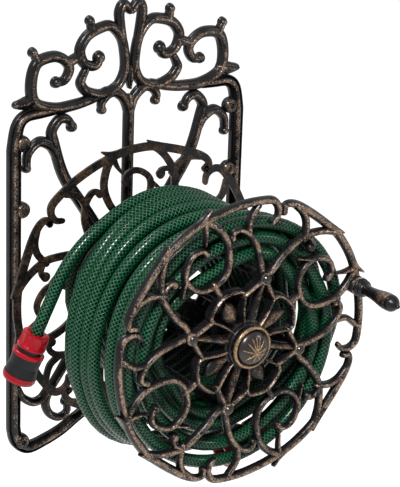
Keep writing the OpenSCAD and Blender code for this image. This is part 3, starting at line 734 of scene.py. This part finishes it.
def make_wheel(name, finish, bright, turned_over):
    """One wheel casting. The rear one is the same casting turned over, so its flat back meets the hose."""
    def placed(piece):
        over, depth = Matrix(), FRONT_BACK_MM
        if turned_over:
            turn = Matrix.Rotation(math.radians(2 * STAR_TURN), 4, "Z")
            over, depth = Matrix.Rotation(math.pi, 4, "X") @ turn, REAR_FRONT_MM
        return settle(stand(piece, depth, over), "antique_iron", "reel", name)

    def way(points):
        return [polar(1, math.degrees(math.atan2(p[1], p[0])) + STAR_TURN) * np.linalg.norm(p)
                for p in map(wheel_place, points)]

    scrolls, star, rays = Drawing(), Drawing(), Drawing()
    for points, widths, knob in WHEEL_SCROLLS:
        scrolls.line(way(points), widths, WHEEL_FACE_MM, knob)
    for points, widths, knob in WHEEL_STAR:
        star.line(way(points), widths, STAR_FACE_MM, knob, steps=5)
    rays.line(way(WHEEL_SPOKE[0]), WHEEL_SPOKE[1], STAR_FACE_MM, steps=5)
    rays.line(way(WHEEL_PETAL[0]), WHEEL_PETAL[1], PETAL_FACE_MM)
    placed(scrolls.cast(f"{name}_scrolls", DRAFTED, finish, copies=4))
    placed(star.cast(f"{name}_star", DRAFTED, finish, copies=4))
    placed(rays.cast(f"{name}_rays", RIDGED, bright, copies=4))

    turned = [lathe("hub", WHEEL_HUB, 72, HUB_BLACK)]
    for quarter in range(4):
        turned.append(lathe("tip", STAR_TIP, 28, finish, polar(BAR_CIRCLE_MM, 90 * quarter + STAR_TURN)))
    if not turned_over:
        turned.append(lathe("crank_boss", CRANK_BOSS, 40, finish, polar(CRANK_R_MM, CRANK_TURN)))
    placed(joined(f"{name}_hub", turned))


# Hose

def turn_angle(t):
    """Where the outer layer is, t turns from its start near the front wheel."""
    return TAIL_ANGLE + 360 * (t - OUTER_TURNS)


def outer_turn(t):
    """A point of the outer layer. It starts a hose's width further in, on the second layer, hangs slack on
    one side, and wanders back and forth."""
    angle = turn_angle(t)
    below = HOSE_D_MM * (1 - smooth(t / 0.35))
    slack = SLACK_MM * (0.2 + 0.8 * smooth((t - 0.1) / 0.9)) * (0.86 + 0.14 * sin(137 * t))
    lobe = ((1 + cos(angle - SLACK_ANGLE)) / 2) ** 4
    radius = TIGHT_R_MM + slack * lobe - below
    wander = WANDER_MM * sin(angle + 60 * t) * smooth(t) * smooth((OUTER_TURNS - t) / 0.6)
    depth = OUTER_FRONT_MM + (OUTER_REAR_MM - OUTER_FRONT_MM) * t / OUTER_TURNS + wander
    return [*polar(radius, angle), depth]


def sagged(radius, angle):
    """The hose goes nearly straight from bar to bar where it lies on them, and rounder further out."""
    share = smooth((SAG_FROM_R_MM - radius) / SAG_OVER_MM)
    return radius - SAG_MM * share * (1 - cos(4 * (angle - STAR_TURN))) / 2


# The first turns from the inlet lie loose in three layers behind the front wheel: inwards, outwards and
# inwards again. Each pair is a count of turns and the radius there.
FEED_BASE = [[0, 146], [0.9, 138], [1.2, 127], [1.9, 117], [2.3, 108], [2.7, 99], [3.1, 109], [3.6, 115],
             [4.6, 130.5], [4.9, 128], [FEED_TURNS, INNER_R_MM]]
# Where the loose turns drop back by a layer: the turn at which they start to, how many turns that takes,
# and how far they drop
FEED_DROPS = [(2.4, 0.4, 16), (4.4, 0.35, 16), (5.75, 0.35, 15)]
FEED_END_ANGLE = FEED_ANGLE + 360 * FEED_TURNS


def feed_turn(t):
    """A point of the loose turns, t turns from the inlet connector. The middle of the first layer lies off
    the axle one way and that of the second another way, so they cross."""
    angle = FEED_ANGLE + 360 * t
    second, end = smooth((t - 2.4) / 0.5), smooth((t - 5.2) / 0.8)
    radius = np.interp(t, *np.transpose(FEED_BASE)) \
        + FIRST_OFF_MM * (1 - second) * cos(angle - FIRST_OFF_ANGLE) \
        + SECOND_OFF_MM * second * (1 - end) * cos(angle - SECOND_OFF_ANGLE)
    depth = FEED_FRONT_MM - START_DROP_MM * (1 - smooth(t / 0.2))
    for start, length, drop in FEED_DROPS:
        depth -= drop * smooth((t - start) / length)
    return [*polar(sagged(radius, angle), angle), depth]


OUTLET_END = np.array([-180, -73, REAR_FRONT_MM + 30])
OUTLET_WAY = unit([0.289, 0.899, 0.168])
INLET_END = np.array([4, -154, FRONT_BACK_MM - 37])
INLET_WAY = unit([0.951, 0.309, 0])
OUTLET_START = OUTLET_END + CONNECTOR_L_MM * OUTLET_WAY
INLET_START = INLET_END + CONNECTOR_L_MM * INLET_WAY

# The tail, from the outer layer to the outlet connector: angle, radius and distance from the rear wheel
TAIL_ROUTE = [[111, 121, 41], [123, 122, 41], [136, 126, 41], [148, 131.5, 40.5], [160, 138, 40.5],
              [171, 144, 40.5]]


def drum_layer(first, radius, turns, start, end, climb_turns):
    """A layer on the drum, turns long, which travels from depth start to depth end. In its last climb_turns
    it stays at that depth and climbs to the second layer."""
    layer = []
    for k in range(first, int(turns * DRUM_STEPS_PER_TURN)):
        t = k / DRUM_STEPS_PER_TURN
        angle = FEED_END_ANGLE + 360 * t
        climb = smooth((t - turns + climb_turns) / climb_turns) if climb_turns else 0
        share = min(t / (turns - climb_turns), 1)
        layer.append([*polar(sagged(radius + (SECOND_R_MM - radius) * climb, angle), angle),
                      start + (end - start) * share])
    return layer


def hose_route():
    """The whole hose from the inlet connector to the outlet connector: the loose turns, two layers on the
    drum, the outer layer, and the tail."""
    feed = [INLET_START - HOSE_SEAT_MM * INLET_WAY, INLET_START + HOSE_D_MM * INLET_WAY]
    feed += [feed_turn(FEED_TURNS * k / FEED_STEPS) for k in range(FEED_STEPS + 1)]
    inner = drum_layer(1, INNER_R_MM, INNER_TURNS, DRUM_FRONT_MM, DRUM_REAR_MM, CLIMB_TURNS)
    second_turns = SECOND_WHOLE_TURNS + ((turn_angle(0) - FEED_END_ANGLE) % 360) / 360
    second = drum_layer(0, SECOND_R_MM, second_turns, DRUM_REAR_MM, OUTER_FRONT_MM, 0)
    count = int(OUTER_TURNS * OUTER_STEPS_PER_TURN)
    outer = [outer_turn(k / count * OUTER_TURNS) for k in range(count)]
    tail = [outer_turn(OUTER_TURNS)] + [[*polar(r, a), REAR_FRONT_MM + d] for a, r, d in TAIL_ROUTE]
    tail += [OUTLET_START + HOSE_D_MM * OUTLET_WAY, OUTLET_START - HOSE_SEAT_MM * OUTLET_WAY]
    return np.concatenate([feed, inner, second, outer, curve_through(tail, 5)])


def make_hose(nuts):
    """The hose as one closed tube along its route, with a map of metres along it and turns round it."""
    line = np.array([row(p) for p in hose_route()])
    ahead = headings(line)
    run = np.concatenate([[0], np.cumsum(np.linalg.norm(np.diff(line, axis=0), axis=1))])
    # Two directions square to the hose. Up points away from the axle, so that the tube doesn't twist
    out = np.stack([line[:, 0], np.zeros(len(line)), line[:, 2]], 1)
    across = np.cross(ahead, out / np.linalg.norm(out, axis=1)[:, None])
    across /= np.linalg.norm(across, axis=1)[:, None]
    up = np.cross(across, ahead)
    verts, faces, laid = [], [], []
    for i in range(len(line)):
        for k in range(HOSE_SIDES):
            a = 2 * math.pi * k / HOSE_SIDES
            verts.append(line[i] + HOSE_D_MM / 2 * MM * (math.cos(a) * up[i] + math.sin(a) * across[i]))
    for i in range(len(line) - 1):
        for k in range(HOSE_SIDES):
            a, b = i * HOSE_SIDES + k, i * HOSE_SIDES + (k + 1) % HOSE_SIDES
            faces.append((a, a + HOSE_SIDES, b + HOSE_SIDES, b))
            here, after = k / HOSE_SIDES, (k + 1) / HOSE_SIDES
            laid += [(run[i], here), (run[i + 1], here), (run[i + 1], after), (run[i], after)]
    last = (len(line) - 1) * HOSE_SIDES
    faces += [tuple(range(HOSE_SIDES)), tuple(last + k for k in reversed(range(HOSE_SIDES)))]
    laid += [(0, 0)] * (2 * HOSE_SIDES)
    hose = new_piece("braided_hose", verts, faces, HOSE)
    hose.data.uv_layers.new(name="run").data.foreach_set("uv", np.array(laid, np.float32).ravel())
    settle(hose, "braided_hose", "reel", "hose_core", "hose_winding", "hose_feed", "hose_tail")


# Turned and moulded pieces

NUT = [(7.9, 0), (14.2, 0), (15.6, 0.6), (16.3, 1.6), (16.4, 7), (16.4, 13.6), (16.1, 14.6), (16.5, 15.2),
       (16.5, 17.2), (16, NUT_L_MM), (12.9, NUT_L_MM), (12.9, HOSE_SEAT_MM), (7.9, HOSE_SEAT_MM)]


def make_nut(end, start, way):
    """The red collar nut: wide flutes with sharp lands between them, and a plain rolled lip."""
    def flutes(angle, r, d):
        inside = 1.0 if r > 14.4 and 1 < d < NUT_L_MM - 3.6 else 0.0
        return -FLUTE_MM * inside * abs(sin(FLUTES / 2 * angle)) ** 0.7

    nut = lathe(f"{end}_fluted_nut", NUT, 100, RED_PLASTIC, flute=flutes)
    down = Vector(row(-way)).normalized()
    turn = Vector((0, 0, 1)).rotation_difference(down).to_matrix().to_4x4()
    nut.data.transform(Matrix.Translation(row(start)) @ turn)
    return settle(nut, "red_plastic", "reel", f"{end}_nut")


# The grip's outline from the wheel outwards, and that of the pointed cap on its end
GRIP = [(9, 0), (10.6, 1.4), (10.9, 3), (9.4, 4.6), (8.6, 5.4), (9.9, 6.8), (9.7, 8.4), (7.4, 10.2),
        (6.5, 15), (6.8, 24), (8.1, 34), (9.6, 43), (10, 49), (9.8, GRIP_L_MM)]
GRIP_BORE_R_MM = 4.3
GRIP_CAP = [(0, 7), (4, 7), (4, 0), (9.7, 0), (9.8, 1.2), (9.4, 3.4), (8.2, 6), (6.1, 8.8), (3.7, 10.8),
            (2.7, 11.5), (2.9, 12.4), (2.5, 13.8), (1.4, 15), (0, 15.4)]


def make_crank():
    """The turning grip on its stud, and the pointed cap on the stud's end."""
    centre = polar(CRANK_R_MM, CRANK_TURN)
    grip = [tuple(p) for p in curve_through(GRIP, 3)]
    grip = [(GRIP_BORE_R_MM, 0)] + grip + [(GRIP_BORE_R_MM, GRIP_L_MM)]
    handle = lathe("turning_grip", grip, 40, IRON_SPECKLED, centre)
    settle(stand(handle, GRIP_START_MM), "bronzed_iron", "crank", "crank_handle")
    cap = lathe("grip_end_cap", GRIP_CAP, 40, IRON, centre)
    settle(stand(cap, GRIP_START_MM + GRIP_L_MM + 0.3), "bronzed_iron", "reel", "crank_cap")


DOME_BACK = [(0, 9.5), (6, 9.5), (6, 0), (25, 0), (25, 2.6), (24.6, 4), (23.4, 4.9), (21.4, 4.9), (20.6, 4.2),
             (20.2, 3.9)]
ROSETTE_RIM = [(20.6, 4), (21, 5.6), (22.2, 6.6), (23.4, 6.2), (24.6, 5), (24.9, 3.6), (24.4, 2.8), (21, 3)]
# The ribs of the rosette, as angle and length in mm, from a point a little below the dome's middle
ROSETTE_RIBS = ((90, 18), (74, 18), (106, 18), (52, 17), (128, 17), (14, 17), (160, 17), (205, 14), (250, 12),
                (300, 12), (340, 15))
RIBS_FROM_MM = np.array([0, -4.0])


def make_rosette():
    """The cap over the axle: a dark dome in a rolled bronze rim, with thin ribs that lie on the dome."""
    dome = DOME_BACK + [(DOME_R_MM * cos(a), DOME_FOOT_MM + DOME_RISE_MM * sin(a)) for a in range(8, 90, 8)]
    cap = lathe("rosette_dome", dome + [(0, DOME_FOOT_MM + DOME_RISE_MM)], 72, DARK_DOME)
    rim = lathe("rosette_rim", ROSETTE_RIM, 72, RIM_BRONZE)
    drawing = Drawing()
    for angle, reach in ROSETTE_RIBS:
        way = [RIBS_FROM_MM + polar(r, angle) for r in (0.5, reach / 2, reach)]
        drawing.line(way, [2.2, 1.7, 1], 1.2, steps=4)
    ribs = drawing.cast("rosette_ribs", ROUND, RIM_BRONZE)
    for vertex in ribs.data.vertices:
        r = min(math.hypot(vertex.co.x, vertex.co.y) / MM / DOME_R_MM, 1)
        vertex.co.z += (DOME_FOOT_MM - 0.2 + DOME_RISE_MM * math.sqrt(1 - r * r)) * MM
    for piece in (cap, rim, ribs):
        settle(stand(piece, CAP_BACK_MM), "bronzed_iron", "frame", "rosette_cap")


def finish_nodes():
    """Gives every CAD piece that still shows its own finish."""
    finishes = {"axle": STEEL, "axle_washer": STEEL, "axle_nut": STEEL, "thrust_washers": STEEL,
                "rear_bush": NYLON, "front_bush": NYLON, "hub_tube": IRON_SPECKLED,
                "rear_bar_screws": DARK_STEEL, "front_bar_screws": DARK_STEEL, "crank_stud": DARK_STEEL}
    for k in range(1, 5):
        finishes[f"drum_bar_{k}"] = IRON_SPECKLED
    for end in ("inlet", "outlet"):
        finishes |= {f"{end}_rings": RED_PLASTIC, f"{end}_body": DARK_PLASTIC, f"{end}_sleeve": GRIP_RUBBER,
                     f"{end}_seal": SEAL_RUBBER}
    for name, finish in finishes.items():
        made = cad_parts[name]
        made.data.materials.clear()
        made.data.materials.append(finish)


# Camera, stage and light

def set_camera():
    """Stands the camera where the photo's camera stood, as fitted to the wheels and the plate."""
    back = Vector((-sin(CAMERA_AZIMUTH) * cos(CAMERA_ELEVATION), -cos(CAMERA_AZIMUTH) * cos(CAMERA_ELEVATION),
                   sin(CAMERA_ELEVATION)))
    right = Vector((cos(CAMERA_AZIMUTH), -sin(CAMERA_AZIMUTH), 0))
    up = back.cross(right)
    right, up = (right * cos(CAMERA_ROLL) + up * sin(CAMERA_ROLL),
                 up * cos(CAMERA_ROLL) - right * sin(CAMERA_ROLL))
    place = Vector(CAMERA_AIM_M) + back * CAMERA_AWAY_M
    lens = bpy.data.cameras.new("camera")
    lens.sensor_fit, lens.sensor_width = "AUTO", SENSOR_MM
    lens.lens = FOCAL_PX * SENSOR_MM / PHOTO_LONG_SIDE_PX
    camera = add_object("camera", lens)
    camera.matrix_world = Matrix(((right.x, up.x, back.x, place.x), (right.y, up.y, back.y, place.y),
                                  (right.z, up.z, back.z, place.z), (0, 0, 0, 1)))
    bpy.context.scene.camera = camera


def area_light(name, place, size, watts):
    """A round lamp that points at the middle of the reel."""
    lamp = bpy.data.lights.new(name, "AREA")
    lamp.shape, lamp.size, lamp.energy = "DISK", size, watts
    made = add_object(name, lamp)
    made.location = place
    made.rotation_euler = (Vector(LAMP_AIM_M) - Vector(place)).to_track_quat("-Z", "Y").to_euler()


def background_share(tree):
    """1 for the rays that see the background: the camera's, and those that metal and glass send on."""
    path = node(tree, "ShaderNodeLightPath").outputs
    seen = maths(tree, "ADD", path["Is Camera Ray"], path["Is Glossy Ray"])
    return maths(tree, "ADD", seen, path["Is Transmission Ray"], clamp=True)


def set_floor():
    """A pale floor that glows for the camera, so that it is as white as the background around the shadow."""
    mesh = bpy.data.meshes.new("studio_floor")
    signs = [(-1, -1), (1, -1), (1, 1), (-1, 1)]
    corners = [(x * FLOOR_HALF_M, y * FLOOR_HALF_M, FLOOR_UP_M) for x, y in signs]
    mesh.from_pydata(corners, [], [(0, 1, 2, 3)])
    paint = bpy.data.materials.new("pale_floor_paint")
    tree = blank_tree(paint)
    matt = node(tree, "ShaderNodeBsdfDiffuse", Color=linear("#f4f3f1"))
    glow = node(tree, "ShaderNodeEmission", Color=(1, 1, 1, 1), Strength=0.9)
    seen = node(tree, "ShaderNodeMixShader", _0=background_share(tree), _2=glow.outputs[0])
    both = node(tree, "ShaderNodeAddShader", _0=matt.outputs[0], _1=seen.outputs[0])
    node(tree, "ShaderNodeOutputMaterial", Surface=both.outputs[0])
    mesh.materials.append(paint)
    add_object("studio_floor", mesh)


def set_world():
    """White behind the object, and a faint even light on it."""
    world = bpy.data.worlds.new("studio")
    bpy.context.scene.world = world
    tree = blank_tree(world)
    soft = node(tree, "ShaderNodeBackground", Color=(1, 1, 1, 1), Strength=0.09)
    white = node(tree, "ShaderNodeBackground", Color=(1, 1, 1, 1), Strength=1.0)
    mixed = node(tree, "ShaderNodeMixShader", _0=background_share(tree), _1=soft.outputs[0],
                 _2=white.outputs[0])
    node(tree, "ShaderNodeOutputWorld", Surface=mixed.outputs[0])


bpy.context.scene.view_settings.view_transform = "Standard"
set_camera()
make_hose([make_nut("inlet", INLET_START, INLET_WAY), make_nut("outlet", OUTLET_START, OUTLET_WAY)])
make_plate()
make_wheel("rear_wheel", IRON_DULL, IRON_DULL, turned_over=True)
make_wheel("front_wheel", IRON_BRIGHT, IRON_SPECKLED, turned_over=False)
make_rosette()
make_crank()
finish_nodes()
set_floor()
set_world()
area_light("key", (-1.5, -1.5, 2.1), 0.65, 130)
area_light("fill", (1.9, -1.6, 0.9), 0.6, 10)
area_light("rim", (-0.6, 0.9, 1.9), 0.5, 16)
for outline in (ROUND, CORDED, DRAFTED, BEADED, RIDGED):
    bpy.data.objects.remove(outline)
